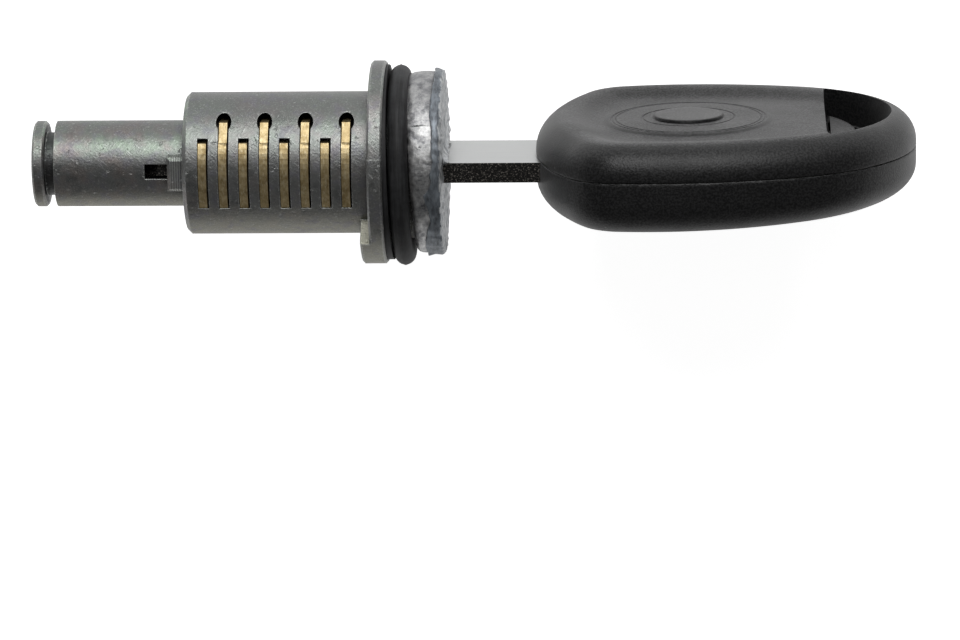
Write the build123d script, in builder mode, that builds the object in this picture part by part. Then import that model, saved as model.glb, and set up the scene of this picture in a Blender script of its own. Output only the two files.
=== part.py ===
from build123d import *

import os
from math import cos, radians, sin, sqrt, tan

# Vehicle door lock plug with its key pushed in. Millimetres.
# X runs along the lock, from the tail towards the key. Z runs across the width of the key blade.
# The origin is on the axis, at the rear seating face of the flange.

# Plug, from its front to its tail
spigot_len = 2.75
spigot_rise = 0.3
neck_rise = 0.2
flange_t = 1.5
seal_depth = 2.55
flange_chamfer = 0.2
barrel_len = 18.5
barrel_r = 7.1
barrel_chamfer = 0.4
tail_len = 13.1
tail_r = 4.3
groove_w = 1.0
groove_r = 3.15
end_disc_t = 1.2
end_disc_chamfer = 0.2

# Stop lug behind the flange, as angles from +Z towards -Y
lug_t = 0.95
lug_start_deg = 41.5
lug_end_deg = 104.0

# Driving tab on the tail, and the window beside it that opens into the keyway
tab_len = 1.6
tab_w = 3.4
tab_inset = 1.35
tab_chamfer = 0.3
window_len = 2.4
window_w = 1.5

# Wafers and their slots
wafer_count = 8
wafer_pitch = 2.03
wafer_t = 0.8
wafer_w = 6.5
wafer_side_gap = 0.06
wafer_flush_gap = 0.05
wafer_travel = 1.0
wafer_window_gap = 0.35
wafer_window_corner = 0.4
slot_w = 1.05
slot_extra = 0.45
first_slot_gap = 1.55
wing_h = 1.2
wing_top = 3.6
wing_chamfer = 0.25
wing_gap = 0.15

# Wafer springs and the round pockets that hold them
pocket_r = 0.775
pocket_inset = 2.0
spring_len = 5.0
spring_r = 0.5
spring_wire = 0.2
spring_turns = 3
coil_sides = 8

# Key blade: half heights across its width, lengths from its tip
blade_t = 2.0
blade_tip_x = -25.8
blade_tip_len = 4.5
blade_tip_flat = 2.8
blade_max_h = 3.55
blade_wide_h = 5.5
blade_ramp_gap = 0.7
blade_ramp_len = 1.9
cut_heights = (2.5, 2.9, 3.4, 3.1, 2.55, 2.9, 3.45, 3.55)
cut_land = 0.8
key_gap = 0.15
key_end_gap = 0.6
milled_len = 33.5
milled_depth = 0.45
milled_narrow = (1.5, 2.4)
milled_wide = (-4.0, -2.0)
cutter_r = 9.0

# Key head: plan of the two covers, lengths from the nose
head_front_x = 16.3
head_len = 37.9
head_nose_r = 28.9
head_shoulder_h = 16.3
head_corner_r = 6.5
head_rear_r = 16.0
head_rear_deg = 70.0
seam_y = 1.0
upper_h = 3.5
lower_h = 5.1
rim_round = 3.0
rim_flats = 3
rim_w = 3.6
dish_depth = 0.6
dish_slope_w = 1.8
disc_x = 15.8
disc_r = 7.7
disc_rise = 0.2
disc_mid_r = 4.5
disc_mid_rise = 0.35
disc_centre_r = 3.4
disc_centre_rise = 0.6
ring_window_x = 29.3
ring_window_corner_r = 1.0
bar_w = 2.5
core_margin = 2.6
core_gap = 0.06
tongue_len = 3.1
tongue_half_w = 8.6
tang_len = 17.0
tang_half_h = 4.0

# Seals, head ring and cap
seal_tilt_deg = 1.2
seal_gap = 0.05
washer_t = 0.45
washer_inset = 0.4
oring_inset = 0.1
oring_drop = 0.3
oring_sides = 8
head_ring_wall = 1.73
head_ring_shoulder = 0.45
head_ring_bevel = 0.6
head_ring_bulge = 0.2
cap_wall = 0.3
cap_face_t = 0.4
cap_skirt_len = 0.95
cap_chamfer = 0.2
fit_gap = 0.02

# Dust flap, its pin and its torsion spring
flap_t = 0.45
flap_seat_gap = 0.06
flap_lap = 0.2
flap_end_gap = 0.2
flap_swing_deg = 6.0
knuckle_r = 0.75
knuckle_gap = 2.2
pin_r = 0.4
pin_gap = 0.03
pin_cover = 0.15
pin_chamfer = 0.1
torsion_wire = 0.2
torsion_gap = 0.05
torsion_full_turns = 4
torsion_pitch = 0.36
wall_leg_deg = 37.0
flap_leg_deg = 17.0
flap_leg_len = 1.65

# Places closer together than this are the same place
same_place = 0.001

# Radii that follow the barrel
spigot_r = barrel_r + spigot_rise
neck_r = spigot_r + neck_rise
flange_r = neck_r + seal_depth
pocket_y = barrel_r - pocket_inset
tab_reach = barrel_r - tab_inset

# Seals lie parallel to each other, a little out of square with the lock
seal_tan = tan(radians(seal_tilt_deg))
oring_r = flange_r - oring_inset
oring_wire_r = (oring_r - neck_r - oring_drop - seal_gap) / 2
oring_ring_r = oring_r - oring_wire_r
oring_x = flange_t + washer_t + oring_wire_r + seal_gap

# Stations along the axis
barrel_rear = -barrel_len
groove_front = barrel_rear - tail_len
groove_rear = groove_front - groove_w
tail_end = groove_rear - end_disc_t
neck_front = oring_x + oring_wire_r
spigot_front = neck_front + spigot_len
cap_inside = spigot_front + seal_gap
cap_front = cap_inside + cap_face_t

# Wafer stations, and the keyway that the blade needs
slot_starts = [barrel_rear + first_slot_gap + n * wafer_pitch for n in range(wafer_count)]
slot_mids = [x + slot_w / 2 for x in slot_starts]
ramp_start = slot_starts[-1] + slot_w + blade_ramp_gap
ramp_end = ramp_start + blade_ramp_len
keyway_half_t = blade_t / 2 + key_gap
keyway_half_h = blade_max_h + key_gap
keyway_wide_h = blade_wide_h + key_gap
keyway_end = blade_tip_x - key_end_gap
keyway_step = ramp_start - key_gap

# Wafers, springs and pockets
wafer_half_w = wafer_w / 2
wafer_end_r = barrel_r - wafer_flush_gap
wafer_window_t = blade_t + 2 * wafer_window_gap
wafer_window_h = 2 * (blade_max_h + wafer_travel + wafer_window_gap)
wing_bottom = wing_top - wing_h
wing_room = wing_bottom - wafer_travel - wing_gap
wing_end = pocket_y + spring_r
pocket_floor = wing_bottom - spring_len

# Dust flap, folded inward beside the blade
flap_y = blade_t / 2 + flap_seat_gap
hinge_y = flap_y + knuckle_r
hinge_x = cap_inside - knuckle_r - flap_end_gap
flap_len = hinge_y + keyway_half_t + flap_lap
flap_half_h = keyway_wide_h + flap_lap / 2
cavity_half_h = flap_half_h + flap_end_gap
cavity_rear = hinge_x - flap_len - flap_end_gap
cavity_y = hinge_y + knuckle_r + flap_end_gap
pin_half_len = sqrt(spigot_r**2 - (hinge_y + pin_r) ** 2) - pin_cover

# Head ring and cap
head_ring_r = spigot_r + fit_gap + head_ring_wall
head_ring_edge_r = head_ring_r - head_ring_shoulder
head_ring_step_r = head_ring_r - head_ring_bulge
cap_r = head_ring_step_r + seal_gap + cap_wall
cap_skirt_x = cap_front - cap_skirt_len

# Key head
head_rear_x = head_front_x + head_len
rear_centre_x = head_rear_x - head_rear_r
shoulder_x = head_front_x + head_nose_r - sqrt(head_nose_r**2 - head_shoulder_h**2)
rear_join = (
    rear_centre_x + head_rear_r * cos(radians(head_rear_deg)),
    head_rear_r * sin(radians(head_rear_deg)),
)
rear_slope = (-sin(radians(head_rear_deg)), cos(radians(head_rear_deg)))
window_x = head_front_x + ring_window_x
disc_centre_x = head_front_x + disc_x

os.makedirs("parts", exist_ok=True)


def circles_at(solid, x, radius):
    """Circular edges round the lock's axis at one station."""
    circles = solid.edges().filter_by(GeomType.CIRCLE)
    at_station = circles.filter_by(lambda edge: abs(edge.arc_center.X - x) < same_place)
    return at_station.filter_by(lambda edge: abs(edge.radius - radius) < same_place)


def on_circle(radius, degrees):
    """Point of a circle round the lock's axis, at an angle from +Z towards -Y."""
    return (-radius * sin(radians(degrees)), radius * cos(radians(degrees)))


def coil_points(radius, turns, height, start_deg=0):
    """Corners of a coil round Z that is bent in short straight runs."""
    runs = round(turns * coil_sides)
    start = Vector(radius, 0, 0)
    return [
        start.rotate(Axis.Z, start_deg + 360 * turns * run / runs) + Vector(0, 0, height * run / runs)
        for run in range(runs + 1)
    ]


# Plug: one zinc die casting, turned form first
with BuildPart() as plug:
    with BuildSketch(Plane.XY):
        with BuildLine():
            Polyline(
                (tail_end, 0),
                (tail_end, tail_r),
                (groove_rear, tail_r),
                (groove_rear, groove_r),
                (groove_front, groove_r),
                (groove_front, tail_r),
                (barrel_rear, tail_r),
                (barrel_rear, barrel_r),
                (0, barrel_r),
                (0, flange_r),
                (flange_t, flange_r),
                (flange_t, neck_r),
                (neck_front, neck_r),
                (neck_front, spigot_r),
                (spigot_front, spigot_r),
                (spigot_front, 0),
                close=True,
            )
        make_face()
    revolve(axis=Axis.X)
    chamfer(circles_at(plug, barrel_rear, barrel_r), length=barrel_chamfer)
    end_disc_rims = circles_at(plug, tail_end, tail_r) + circles_at(plug, groove_rear, tail_r)
    chamfer(end_disc_rims, length=end_disc_chamfer)

    # Stop lug: an arc-shaped block on the rear of the flange
    with BuildSketch(Plane.YZ):
        with BuildLine():
            lug_mid_deg = (lug_start_deg + lug_end_deg) / 2
            lug_root_r = barrel_r - lug_t
            ThreePointArc(
                on_circle(flange_r, lug_start_deg),
                on_circle(flange_r, lug_mid_deg),
                on_circle(flange_r, lug_end_deg),
            )
            Line(on_circle(flange_r, lug_end_deg), on_circle(lug_root_r, lug_end_deg))
            ThreePointArc(
                on_circle(lug_root_r, lug_end_deg),
                on_circle(lug_root_r, lug_mid_deg),
                on_circle(lug_root_r, lug_start_deg),
            )
            Line(on_circle(lug_root_r, lug_start_deg), on_circle(flange_r, lug_start_deg))
        make_face()
    extrude(amount=-lug_t)
    chamfer(circles_at(plug, -lug_t, flange_r) + circles_at(plug, flange_t, flange_r), length=flange_chamfer)
    chamfer(circles_at(plug, 0, flange_r), length=flange_chamfer)

    # Driving tab with bevelled edges, and the window behind it
    with BuildSketch(Plane.YZ.offset(barrel_rear)):
        with Locations((0, tab_reach / 2)):
            Rectangle(tab_w, tab_reach)
    extrude(amount=-tab_len)
    tab_face = plug.faces().filter_by(Axis.Z).sort_by(Axis.Z)[-1]
    chamfer(tab_face.edges().sort_by(Axis.X)[:-1], length=tab_chamfer)
    with BuildSketch(Plane.XY.offset(keyway_half_h)):
        with Locations((barrel_rear - tab_len - window_len / 2, 0)):
            Rectangle(window_len, window_w)
    extrude(amount=tail_r, mode=Mode.SUBTRACT)

    # Keyway: narrow for the cut part of the blade, wide for its shoulder
    with BuildSketch(Plane.YZ.offset(keyway_end)):
        Rectangle(2 * keyway_half_t, 2 * keyway_half_h)
    extrude(amount=spigot_front - keyway_end, mode=Mode.SUBTRACT)
    with BuildSketch(Plane.YZ.offset(keyway_step)):
        Rectangle(2 * keyway_half_t, 2 * keyway_wide_h)
    extrude(amount=spigot_front - keyway_step, mode=Mode.SUBTRACT)

    # Wafer slots right through, a little longer on one side
    with BuildSketch(Plane.XY):
        for mid in slot_mids:
            with Locations((mid, (slot_extra - wafer_side_gap) / 2)):
                Rectangle(slot_w, wafer_w + slot_extra + wafer_side_gap)
    extrude(amount=barrel_r, both=True, mode=Mode.SUBTRACT)

    # Spring pockets and wing room, by turns on the two sides
    for n, mid in enumerate(slot_mids):
        side = 1 if n % 2 else -1
        with BuildSketch(Plane.XY.offset(side * wing_room)):
            with Locations((mid, side * (wafer_half_w + pocket_y) / 2)):
                Rectangle(slot_w, pocket_y - wafer_half_w)
        extrude(amount=side * barrel_r, mode=Mode.SUBTRACT)
        with BuildSketch(Plane.XY.offset(side * pocket_floor)):
            with Locations((mid, side * pocket_y)):
                Circle(pocket_r)
        extrude(amount=side * (barrel_r - pocket_floor), mode=Mode.SUBTRACT)

    # Room for the dust flap, and the two blind holes of its pin
    with BuildSketch(Plane.YZ.offset(cavity_rear)):
        with Locations((cavity_y / 2, 0)):
            Rectangle(cavity_y, 2 * cavity_half_h)
    extrude(amount=spigot_front - cavity_rear, mode=Mode.SUBTRACT)
    with BuildSketch(Plane.XY):
        with Locations((hinge_x, hinge_y)):
            Circle(pin_r + fit_gap)
    extrude(amount=pin_half_len + fit_gap, both=True, mode=Mode.SUBTRACT)
plug.part.label = "plug"
export_step(plug.part, "parts/plug.step")

# Wafers: stamped plates with a window for the blade and a wing that sits on the spring
for n, start in enumerate(slot_starts):
    side = 1 if n % 2 else -1
    with BuildPart() as wafer:
        with BuildSketch(Plane.YZ.offset(start + wafer_side_gap)) as wafer_plan:
            Circle(wafer_end_r)
            Rectangle(wafer_w, 2 * barrel_r, mode=Mode.INTERSECT)
            with Locations((side * wing_end / 2, side * (wing_top + wing_bottom) / 2)):
                Rectangle(wing_end, wing_h)
            wing_tip = wafer_plan.vertices().sort_by(Axis.X, reverse=side < 0)[-2:]
            chamfer(wing_tip, length=wing_chamfer)
            with BuildSketch(mode=Mode.PRIVATE) as blade_window:
                window_plate = Rectangle(wafer_window_t, wafer_window_h)
                chamfer(window_plate.vertices(), length=wafer_window_corner)
            add(blade_window.sketch, mode=Mode.SUBTRACT)
        extrude(amount=wafer_t)
    wafer.part.label = f"wafer_{n + 1}"
    export_step(wafer.part, f"parts/wafer_{n + 1}.step")

# Wafer springs: small coils, each standing on its pocket's floor under a wing
for n, mid in enumerate(slot_mids):
    side = 1 if n % 2 else -1
    low = pocket_floor if side > 0 else -wing_bottom
    base = Vector(mid, side * pocket_y, low + spring_wire / 2)
    with BuildPart() as wafer_spring:
        with BuildLine():
            turns = coil_points(spring_r, spring_turns, spring_len - spring_wire)
            coil = Polyline(*[base + point for point in turns])
        with BuildSketch(Plane(origin=coil @ 0, z_dir=coil % 0)):
            Rectangle(spring_wire, spring_wire)
        sweep(transition=Transition.RIGHT)
    wafer_spring.part.label = f"wafer_spring_{n + 1}"
    export_step(wafer_spring.part, f"parts/wafer_spring_{n + 1}.step")

# Flat rubber seal on the flange, squeezed thinner on the side where the O-ring leans
with BuildPart() as seal_washer:
    with BuildSketch(Plane.YZ.offset(flange_t)):
        Circle(flange_r - washer_inset)
        Circle(neck_r + seal_gap, mode=Mode.SUBTRACT)
    extrude(amount=2 * washer_t)
    split(bisect_by=Plane((flange_t + washer_t, 0, 0), z_dir=(1, seal_tan, 0)), keep=Keep.BOTTOM)
seal_washer.part.label = "seal_washer"
export_step(seal_washer.part, "parts/seal_washer.step")

# O-ring, stretched round the neck and lying a little crooked, its round section in short flats
oring_axis = Axis((oring_x + oring_drop * seal_tan, -oring_drop, 0), (1, seal_tan, 0))
with BuildPart() as o_ring:
    with BuildSketch(Plane(oring_axis.position, x_dir=(0, 0, 1), z_dir=(-seal_tan, 1, 0))):
        with Locations((oring_ring_r, 0)):
            RegularPolygon(oring_wire_r, oring_sides)
    revolve(axis=oring_axis)
o_ring.part.label = "o_ring"
export_step(o_ring.part, "parts/o_ring.step")

# Head ring: a cast ring with a bulging rim and a step for the cap's skirt
with BuildPart() as head_ring:
    with BuildSketch(Plane.XY):
        with BuildLine():
            inner_r = spigot_r + fit_gap
            Polyline(
                (spigot_front, inner_r),
                (neck_front, inner_r),
                (neck_front, head_ring_edge_r),
                (neck_front + head_ring_bevel, head_ring_r),
                (cap_skirt_x - head_ring_bevel, head_ring_r),
                (cap_skirt_x, head_ring_step_r),
                (spigot_front, head_ring_step_r),
                close=True,
            )
        make_face()
    revolve(axis=Axis.X)
head_ring.part.label = "head_ring"
export_step(head_ring.part, "parts/head_ring.step")

# Face cap: a thin pressed cup over the head ring, with the key slot in its face
with BuildPart() as face_cap:
    with BuildSketch(Plane.XY):
        with BuildLine():
            skirt_inner_r = cap_r - cap_wall
            Polyline(
                (cap_front, 0),
                (cap_inside, 0),
                (cap_inside, skirt_inner_r),
                (cap_skirt_x, skirt_inner_r),
                (cap_skirt_x, cap_r),
                (cap_front, cap_r),
                close=True,
            )
        make_face()
    revolve(axis=Axis.X)
    chamfer(circles_at(face_cap, cap_front, cap_r), length=cap_chamfer)
    with BuildSketch(Plane.YZ.offset(cap_inside)):
        Rectangle(2 * keyway_half_t, 2 * keyway_wide_h)
    extrude(amount=cap_face_t, mode=Mode.SUBTRACT)
face_cap.part.label = "face_cap"
export_step(face_cap.part, "parts/face_cap.step")

# Dust flap: a plate with two rolled knuckles, lying folded against the blade
with BuildPart() as shutter:
    with BuildSketch(Plane.XY.offset(-flap_half_h)):
        with Locations((hinge_x, hinge_y)):
            Circle(knuckle_r)
        with Locations((hinge_x - flap_len / 2, flap_y + flap_t / 2)):
            Rectangle(flap_len, flap_t)
    extrude(amount=2 * flap_half_h)
    with BuildSketch(Plane.XY.offset(-knuckle_gap)):
        with Locations((hinge_x, hinge_y)):
            Rectangle(flap_len, 2 * knuckle_r)
    extrude(amount=2 * knuckle_gap, mode=Mode.SUBTRACT)
    with BuildSketch(Plane.XY):
        with Locations((hinge_x, hinge_y)):
            Circle(pin_r + pin_gap)
    extrude(amount=flap_half_h, both=True, mode=Mode.SUBTRACT)
shutter.part.label = "shutter"
export_step(shutter.part, "parts/shutter.step")

# Hinge pin of the dust flap
with BuildPart() as shutter_pin:
    with BuildSketch(Plane.XY):
        with Locations((hinge_x, hinge_y)):
            Circle(pin_r)
    extrude(amount=pin_half_len, both=True)
    chamfer(shutter_pin.edges().filter_by(GeomType.CIRCLE), length=pin_chamfer)
shutter_pin.part.label = "shutter_pin"
export_step(shutter_pin.part, "parts/shutter_pin.step")

# Torsion spring of the flap: a short coil on the pin, one leg on the cavity wall, one over the flap
wall_leg_at = 270 - wall_leg_deg
flap_leg_at = 90 + flap_leg_deg
torsion_turns = torsion_full_turns + (flap_leg_at - wall_leg_at + 360) / 360
torsion_h = torsion_turns * torsion_pitch
torsion_r = (pin_r + torsion_gap + torsion_wire / 2) / cos(radians(180 / coil_sides))
wall_leg_rise = cavity_y - seal_gap - torsion_wire / 2 - hinge_y - torsion_r * sin(radians(wall_leg_at))
wall_leg_run = Vector(0, wall_leg_rise / sin(radians(wall_leg_deg)), 0).rotate(Axis.Z, wall_leg_at - 180)
flap_leg_run = Vector(0, flap_leg_len, 0).rotate(Axis.Z, flap_leg_at)
with BuildPart() as shutter_spring:
    with BuildLine():
        base = Vector(hinge_x, hinge_y, -torsion_h / 2)
        coil = [base + point for point in coil_points(torsion_r, torsion_turns, torsion_h, wall_leg_at)]
        wire = Polyline(coil[0] + wall_leg_run, *coil, coil[-1] + flap_leg_run)
    with BuildSketch(Plane(origin=wire @ 0, z_dir=wire % 0)):
        Rectangle(torsion_wire, torsion_wire)
    sweep(transition=Transition.RIGHT)
shutter_spring.part.label = "shutter_spring"
export_step(shutter_spring.part, "parts/shutter_spring.step")

# Key blade: outline with a land cut for each wafer, then the milled grooves of both faces
with BuildPart() as key_blade:
    upper_edge = [
        (blade_tip_x, 0),
        (blade_tip_x + blade_tip_len, blade_max_h),
        (blade_tip_x + blade_tip_len + blade_tip_flat, blade_max_h),
    ]
    for mid, height in zip(slot_mids, cut_heights):
        upper_edge += [(mid - cut_land / 2, height), (mid + cut_land / 2, height)]
    upper_edge += [
        (ramp_start, blade_max_h),
        (ramp_end, blade_wide_h),
        (head_front_x + core_margin, blade_wide_h),
        (head_front_x + core_margin, tang_half_h),
        (head_front_x + tang_len, tang_half_h),
    ]
    lower_edge = [(x, -h) for x, h in reversed(upper_edge[1:])]
    with BuildSketch(Plane.XZ):
        with BuildLine():
            Polyline(*upper_edge, *lower_edge, close=True)
        make_face()
    extrude(amount=blade_t / 2, both=True)

    # Each groove ends in the run-out of a round cutter
    milled_end = blade_tip_x + milled_len
    milled_floor = blade_t / 2 - milled_depth
    run_out = sqrt(cutter_r**2 - (cutter_r - milled_depth) ** 2)
    for face in (1, -1):
        for low, high in (milled_narrow, milled_wide):
            with BuildSketch(Plane.XY.offset(face * low)):
                with BuildLine():
                    flat_end = (milled_end - run_out, face * milled_floor)
                    lip = (milled_end, face * blade_t / 2)
                    back = blade_tip_x - blade_tip_len
                    clear_y = face * blade_t
                    Line((back, face * milled_floor), flat_end)
                    RadiusArc(flat_end, lip, face * -cutter_r)
                    Polyline(lip, (milled_end, clear_y), (back, clear_y), (back, face * milled_floor))
                make_face()
            extrude(amount=face * (high - low), mode=Mode.SUBTRACT)
key_blade.part.label = "key_blade"
export_step(key_blade.part, "parts/key_blade.step")

# Plan of the key head: a rounded shield, with its nose towards the lock
with BuildSketch() as head_plan:
    with BuildLine():
        shoulders = ((shoulder_x, -head_shoulder_h), (shoulder_x, head_shoulder_h))
        nose = ThreePointArc(shoulders[0], (head_front_x, 0), shoulders[1])
        rear = ThreePointArc((rear_join[0], -rear_join[1]), (head_rear_x, 0), rear_join)
        TangentArc(rear_join, nose @ 1, tangent=rear_slope)
        TangentArc((rear_join[0], -rear_join[1]), nose @ 0, tangent=(rear_slope[0], -rear_slope[1]))
    make_face()
    fillet(head_plan.vertices().sort_by(Axis.X)[:2], radius=head_corner_r)

# Opening for a key ring: what lies behind a straight edge, inside the rear bar
window_wall = Plane.YZ.offset(window_x)
with BuildSketch() as ring_window_plan:
    with Locations((rear_centre_x, 0)):
        Circle(head_rear_r - bar_w)
    split(bisect_by=window_wall, keep=Keep.TOP)
    fillet(ring_window_plan.vertices(), radius=ring_window_corner_r)

# Inner carrier of the key head: follows the head's plan and ends in a tongue in the ring window
with BuildSketch() as core_plan:
    add(head_plan.sketch)
    offset(amount=-core_margin, mode=Mode.REPLACE)
    split(bisect_by=window_wall, keep=Keep.BOTTOM)
with BuildSketch() as core_pocket_plan:
    add(head_plan.sketch)
    offset(amount=core_gap - core_margin, mode=Mode.REPLACE)
    split(bisect_by=window_wall.offset(core_gap), keep=Keep.BOTTOM)
with BuildSketch() as tongue_plan:
    with BuildLine():
        ThreePointArc((window_x, -tongue_half_w), (window_x + tongue_len, 0), (window_x, tongue_half_w))
        Line((window_x, tongue_half_w), (window_x, -tongue_half_w))
    make_face()

with BuildPart() as key_core:
    with BuildSketch(Plane.XZ.offset(blade_t / 2)):
        add(core_plan.sketch)
        add(tongue_plan.sketch)
    extrude(amount=-blade_t)
    with BuildSketch(Plane.XZ.offset(blade_t / 2)):
        with Locations((head_front_x + tang_len / 2, 0)):
            Rectangle(tang_len, 2 * tang_half_h)
    extrude(amount=-blade_t, mode=Mode.SUBTRACT)
key_core.part.label = "key_core"
export_step(key_core.part, "parts/key_core.step")

# The rim of a cover turns from its side to its face in a few flats
rim_turns = [radians(90 * flat / rim_flats) for flat in range(rim_flats + 1)]
rim_steps = [(rim_round * (1 - cos(turn)), rim_round * sin(turn)) for turn in rim_turns]

# Moulded covers of the key head: rounded rim and dished face, and a low stepped disc on the upper one
disc_steps = ((disc_r, disc_rise), (disc_mid_r, disc_mid_rise), (disc_centre_r, disc_centre_rise))
for name, outward, depth in (("key_cover_upper", 1, upper_h), ("key_cover_lower", -1, lower_h)):
    seam_plane = Plane.XZ.offset(-seam_y)
    outer_plane = Plane.XZ.offset(-seam_y - outward * depth)
    floor_plane = outer_plane.offset(outward * dish_depth)
    with BuildPart() as cover:
        with BuildSketch(seam_plane):
            add(head_plan.sketch)
        extrude(amount=-outward * (depth - rim_round))
        for inset, height in rim_steps:
            with BuildSketch(outer_plane.offset(outward * (rim_round - height))):
                add(head_plan.sketch)
                if inset:
                    offset(amount=-inset, mode=Mode.REPLACE)
        loft(ruled=True)
        for inset, dish_plane in ((rim_w, outer_plane), (rim_w + dish_slope_w, floor_plane)):
            with BuildSketch(dish_plane):
                add(head_plan.sketch)
                offset(amount=-inset, mode=Mode.REPLACE)
        loft(ruled=True, mode=Mode.SUBTRACT)

        with BuildSketch(outer_plane):
            add(ring_window_plan.sketch)
        extrude(amount=outward * depth, mode=Mode.SUBTRACT)

        # Each step of the upper cover's disc stands on the one before
        if name == "key_cover_upper":
            for radius, step_top in disc_steps:
                with BuildSketch(floor_plane):
                    with Locations((disc_centre_x, 0)):
                        Circle(radius)
                extrude(amount=-step_top)

        # The lower cover holds the core, and has the slot that the blade leaves through
        if name == "key_cover_lower":
            with BuildSketch(seam_plane):
                add(core_pocket_plan.sketch)
                with Locations((head_front_x, 0)):
                    Rectangle(4 * core_margin, 2 * (blade_wide_h + core_gap))
            extrude(amount=blade_t, mode=Mode.SUBTRACT)
    cover.part.label = name
    export_step(cover.part, f"parts/{name}.step")
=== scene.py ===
"""A door lock plug with its key pushed home. X runs along the lock from its tail to the key, Y is the
thickness of the blade and Z its width. Sizes are in millimetres and turn to metres on their way in."""

from math import acos, atan2, cos, degrees, hypot, pi, radians, sin, sqrt

import bmesh
import bpy
from mathutils import Matrix, Vector, noise


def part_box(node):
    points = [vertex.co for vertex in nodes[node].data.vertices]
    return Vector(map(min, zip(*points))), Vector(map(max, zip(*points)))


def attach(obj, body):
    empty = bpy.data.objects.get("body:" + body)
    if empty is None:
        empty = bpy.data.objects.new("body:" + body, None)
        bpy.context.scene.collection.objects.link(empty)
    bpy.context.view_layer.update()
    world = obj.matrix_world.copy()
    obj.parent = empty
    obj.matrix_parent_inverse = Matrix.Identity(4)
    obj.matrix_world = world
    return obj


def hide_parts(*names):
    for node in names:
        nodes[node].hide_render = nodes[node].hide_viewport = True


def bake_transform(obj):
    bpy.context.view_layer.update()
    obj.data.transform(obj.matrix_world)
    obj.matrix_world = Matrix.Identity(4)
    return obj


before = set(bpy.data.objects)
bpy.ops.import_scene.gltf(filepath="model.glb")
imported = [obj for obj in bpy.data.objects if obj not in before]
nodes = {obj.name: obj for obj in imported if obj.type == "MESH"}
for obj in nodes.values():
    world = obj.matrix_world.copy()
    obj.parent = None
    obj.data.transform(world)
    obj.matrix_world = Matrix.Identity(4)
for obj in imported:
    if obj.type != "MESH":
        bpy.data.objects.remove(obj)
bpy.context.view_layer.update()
mm = 0.001

# Camera. It looks down on the lock laid flat, from half a metre off, with the blade a little turned up,
# so the near edge of the blade and the top of the key head both show.
camera_distance = 514.0
view_width = 96.0
view_tip = radians(13.76)
view_turn = radians(2.7)
view_roll = radians(0.21)
lock_right = 10.7
lock_below = 15.81
film_width = 36.0

along = Vector((cos(view_turn) * cos(view_roll), sin(view_roll), sin(view_turn)))
across = Vector((0, -sin(view_tip), cos(view_tip)))
across = (across - along * across.dot(along)).normalized()
upward = across.cross(along)
right, up, back = (Vector((along[i], upward[i], across[i])) for i in range(3))
camera_place = (lock_right * right - lock_below * up + camera_distance * back) * mm

camera_data = bpy.data.cameras.new("camera")
camera_data.sensor_width = film_width
camera_data.lens = film_width * camera_distance / view_width
camera_data.clip_end = 10
camera = bpy.data.objects.new("camera", camera_data)
camera.matrix_world = Matrix.Translation(camera_place) @ Matrix((right, up, back)).transposed().to_4x4()
bpy.context.scene.collection.objects.link(camera)
bpy.context.scene.camera = camera

# Plug: zinc alloy, die-cast in one piece with its flange, stop lug and tail, then dipped in chromate.
# The dip leaves a dull grey skin with weak green, pink and violet tints, rubbed bright on the edges.
zinc_grey = "#808180"
zinc_light = "#c9ccc8"
zinc_dark = "#5f6060"
zinc_olive_shade = "#7c7a69"
zinc_shade = "#38393a"
lug_beige = "#b4b3a4"
tint_green = "#879a86"
tint_pink = "#9a877f"
tint_violet = "#777580"
tint_patch = 2.6
tint_on_barrel = 0.5
barrel_rear_x = -18.5
groove_mid_x = -32.1
groove_half = 0.52
groove_floor_r = 3.9
lug_inner_r = 7.15
lug_face_y = -5.68
lug_face_half = 1.08
lug_front_x = -0.02
tab_mid_x = -19.2
tab_half_len = 0.6
tab_mid_z = 5.0
tab_half_width = 0.9
flange_half = 0.75
cloud_size = 1.5
skin_grain = 0.2
scratch_len = 1.6
scratch_width = 0.12
scratch_turns = ((0.3, 0.4, 0.9), (0.5, -0.3, -0.7))
nick_pitch = 0.9
nick_waver = 1.6
edge_width = 0.1
tab_line_pitch = 0.24
shade_depth = 0.9
parting_turn = radians(13)
parting_half = 0.06
zinc_relief = 0.06


def linear(colour):
    """The linear RGBA of an sRGB hex colour."""
    parts = [int(colour[i : i + 2], 16) / 255 for i in (1, 3, 5)]
    return [p / 12.92 if p <= 0.04045 else ((p + 0.055) / 1.055) ** 2.4 for p in parts] + [1]


def add_node(tree, kind, inputs=None, **settings):
    """Adds a shader node with its settings. An input is a value, or the node or socket linked to it."""
    node = tree.nodes.new("ShaderNode" + kind)
    for name, value in settings.items():
        setattr(node, name, value)
    for name, value in (inputs or {}).items():
        if isinstance(value, bpy.types.Node):
            value = value.outputs[0]
        if isinstance(value, bpy.types.NodeSocket):
            tree.links.new(value, node.inputs[name])
        else:
            node.inputs[name].default_value = value
    return node


def new_material(name):
    """A material with an empty node tree, and that tree."""
    material = bpy.data.materials.new(name)
    material.use_nodes = True
    material.node_tree.nodes.clear()
    return material, material.node_tree


def per_metre(size):
    """The texture scale at which one feature of the pattern is that many millimetres."""
    return 1 / (size * mm)


def coat(material, *names):
    """Puts the material on these CAD nodes."""
    for name in names:
        for slot in nodes[name].material_slots:
            slot.material = material


def worn_edges(tree, radius, start, end, most):
    """The normal rounded over edges by that many mm, and a mask, up to most, of where it is turned."""
    rounded = add_node(tree, "Bevel", {"Radius": radius * mm}, samples=6)
    flat = add_node(tree, "NewGeometry").outputs["Normal"]
    likeness = add_node(tree, "VectorMath", {0: rounded, 1: flat}, operation="DOT_PRODUCT")
    mask = add_node(
        tree,
        "MapRange",
        {"Value": likeness.outputs["Value"], "From Min": start, "From Max": end, "To Max": most},
    )
    return rounded, mask


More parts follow.
